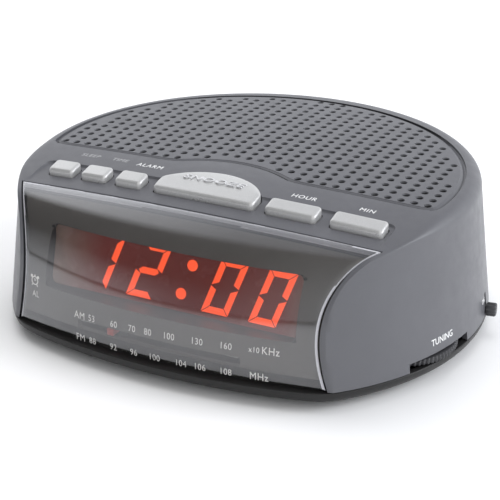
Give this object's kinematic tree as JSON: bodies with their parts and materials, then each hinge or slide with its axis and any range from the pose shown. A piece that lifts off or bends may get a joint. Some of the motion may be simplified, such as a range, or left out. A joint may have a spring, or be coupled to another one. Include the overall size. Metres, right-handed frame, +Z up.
{
  "type": "clock radio",
  "caption": "Desk clock radio with a round case cut off by a curved smoked lens, a perforated crowned top, a row of press buttons and side thumbwheels.",
  "frame": {"origin": "on the desk, under the middle of the whole radio", "axes": "+X towards the side with the tuning wheel, -Y out of the clock display, +Z up"},
  "size_m": [0.1774, 0.1574, 0.0565],
  "materials": {
    "case_charcoal": "fine spark-eroded texture, charcoal grey",
    "base_plastic": "smooth satin, warm dark grey",
    "smoked_lens": "polished smoked acrylic",
    "dial_panel": "matt dark grey",
    "display_face": "dark brown display face",
    "circuit_board": "phenolic board",
    "silver_plastic": "satin silver paint over plastic",
    "black_plastic": "black moulded plastic",
    "pointer_red": "red plastic",
    "steel": "plated steel",
    "cone_paper": "pressed paper",
    "ferrite": "sintered ferrite",
    "laminations": "varnished steel laminations",
    "winding": "enamelled copper wire",
    "cable": "black flexible cable sheath",
    "rubber": "black rubber"
  },
  "bodies": {
    "case": {"top_case": "case_charcoal", "bottom_case": "base_plastic", "display_lens": "smoked_lens", "dial_panel": "dial_panel", "led_module": "display_face", "display_pcb": "circuit_board", "main_pcb": "circuit_board", "button_pcb": "circuit_board", "switch_sleep": "black_plastic", "switch_time": "black_plastic", "switch_alarm": "black_plastic", "switch_snooze": "black_plastic", "switch_hour": "black_plastic", "switch_minute": "black_plastic", "tuning_capacitor": "black_plastic", "volume_control": "steel", "pointer_rail": "steel", "function_switch_body": "steel", "band_switch_body": "steel", "speaker_frame": "steel", "speaker_cone": "cone_paper", "speaker_magnet": "ferrite", "transformer_core": "laminations", "transformer_winding": "winding", "ferrite_rod": "ferrite", "aerial_coil": "winding", "aerial_wire": "cable", "power_cord": "cable", "strain_relief": "rubber", "battery_contacts": "black_plastic", "foot_front_left": "rubber", "foot_front_right": "rubber", "foot_rear_left": "rubber", "foot_rear_right": "rubber", "screw_rear_left": "steel", "screw_rear_right": "steel", "screw_side_left": "steel", "screw_side_right": "steel"},
    "sleep_button": {"button_sleep": "silver_plastic"},
    "time_button": {"button_time": "silver_plastic"},
    "alarm_button": {"button_alarm": "silver_plastic"},
    "snooze_button": {"button_snooze": "silver_plastic"},
    "hour_button": {"button_hour": "silver_plastic"},
    "minute_button": {"button_minute": "silver_plastic"},
    "tuner": {"tuning_wheel": "black_plastic"},
    "pointer": {"dial_pointer": "pointer_red"},
    "volume": {"volume_wheel": "black_plastic"},
    "function_slider": {"function_switch_knob": "case_charcoal"},
    "band_slider": {"band_switch_knob": "case_charcoal"},
    "door": {"battery_door": "base_plastic"}
  },
  "joints": [
    {"name": "sleep_press", "type": "slide", "parent": "case", "child": "sleep_button", "axis": [0, 0, -1], "range_m": [0, 0.0008]},
    {"name": "time_press", "type": "slide", "parent": "case", "child": "time_button", "axis": [0, 0, -1], "range_m": [0, 0.0008]},
    {"name": "alarm_press", "type": "slide", "parent": "case", "child": "alarm_button", "axis": [0, 0, -1], "range_m": [0, 0.0008]},
    {"name": "snooze_press", "type": "slide", "parent": "case", "child": "snooze_button", "axis": [0, 0, -1], "range_m": [0, 0.0008]},
    {"name": "hour_press", "type": "slide", "parent": "case", "child": "hour_button", "axis": [0, 0, -1], "range_m": [0, 0.0008]},
    {"name": "minute_press", "type": "slide", "parent": "case", "child": "minute_button", "axis": [0, 0, -1], "range_m": [0, 0.0008]},
    {"name": "tuning_turn", "type": "hinge", "parent": "case", "child": "tuner", "pos_m": [0.06411, -0.02491, 0.0088], "axis": [0, 0, 1], "range_deg": [-27, 153]},
    {"name": "pointer_slide", "type": "slide", "parent": "case", "child": "pointer", "axis": [1, 0, 0], "range_m": [-0.0076, 0.0426]},
    {"name": "volume_turn", "type": "hinge", "parent": "case", "child": "volume", "pos_m": [-0.06411, -0.02491, 0.0088], "axis": [0, 0, 1], "range_deg": [-135, 135]},
    {"name": "function_slide", "type": "slide", "parent": "case", "child": "function_slider", "axis": [0, 0, 1], "range_m": [0, 0.0035]},
    {"name": "band_slide", "type": "slide", "parent": "case", "child": "band_slider", "axis": [0, 0, 1], "range_m": [0, 0.0035]},
    {"name": "door_swing", "type": "hinge", "parent": "case", "child": "door", "pos_m": [0.0395, 0.0012, 0.0029], "axis": [-1, 0, 0], "range_deg": [0, 100]}
  ],
  "couplings": [
    {"joint": "pointer_slide", "follows": "tuning_turn", "m_per_rad": 0.0159}
  ]
}
